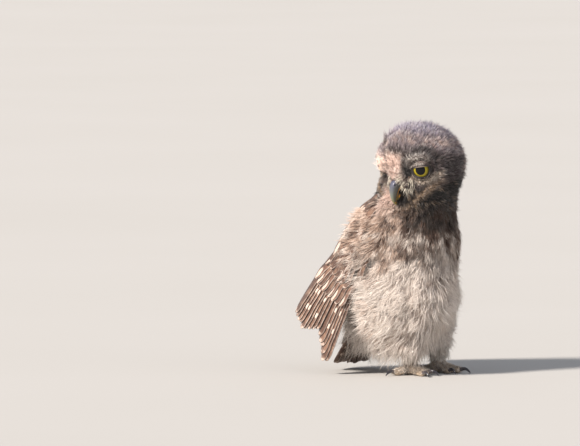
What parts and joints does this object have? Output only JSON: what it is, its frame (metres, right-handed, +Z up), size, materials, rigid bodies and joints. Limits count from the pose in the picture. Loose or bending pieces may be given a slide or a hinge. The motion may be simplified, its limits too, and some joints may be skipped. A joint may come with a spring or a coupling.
{
  "type": "fledgling little owl, still life-size model",
  "caption": "Downy young little owl standing still on both feet, head turned to its right, right wing drooped, short tail.",
  "frame": {"origin": "bottom centre of the whole owl's box, on the floor between and a little behind the feet", "axes": "+Z up; the body faces -Y and its left side is towards +X; the head is turned to face -X"},
  "size_m": [0.1098, 0.1278, 0.19],
  "materials": {
    "head_down": "short grey-brown down, lilac grey on the crown",
    "body_down": "long loose down, pale buff and grey-brown",
    "feathers": "brown vanes with pale spots and edges",
    "bill": "smooth grey-green horn, yellow at the edge of the mouth",
    "eye": "wet, lemon-yellow iris with a round black pupil",
    "toes": "short bristly down over scaled skin",
    "claws": "dark polished horn"
  },
  "bodies": {
    "root": {"head": "head_down", "neck": "body_down", "torso": "body_down", "bill_upper": "bill", "bill_lower": "bill", "eye_right": "eye", "eye_left": "eye", "wing_right": "feathers", "wing_left": "feathers", "tail": "feathers", "leg_right": "body_down", "leg_left": "body_down", "foot_right": "toes", "foot_left": "toes", "claw_right_inner": "claws", "claw_right_middle": "claws", "claw_right_outer": "claws", "claw_right_hind": "claws", "claw_left_inner": "claws", "claw_left_middle": "claws", "claw_left_outer": "claws", "claw_left_hind": "claws"}
  },
  "joints": []
}
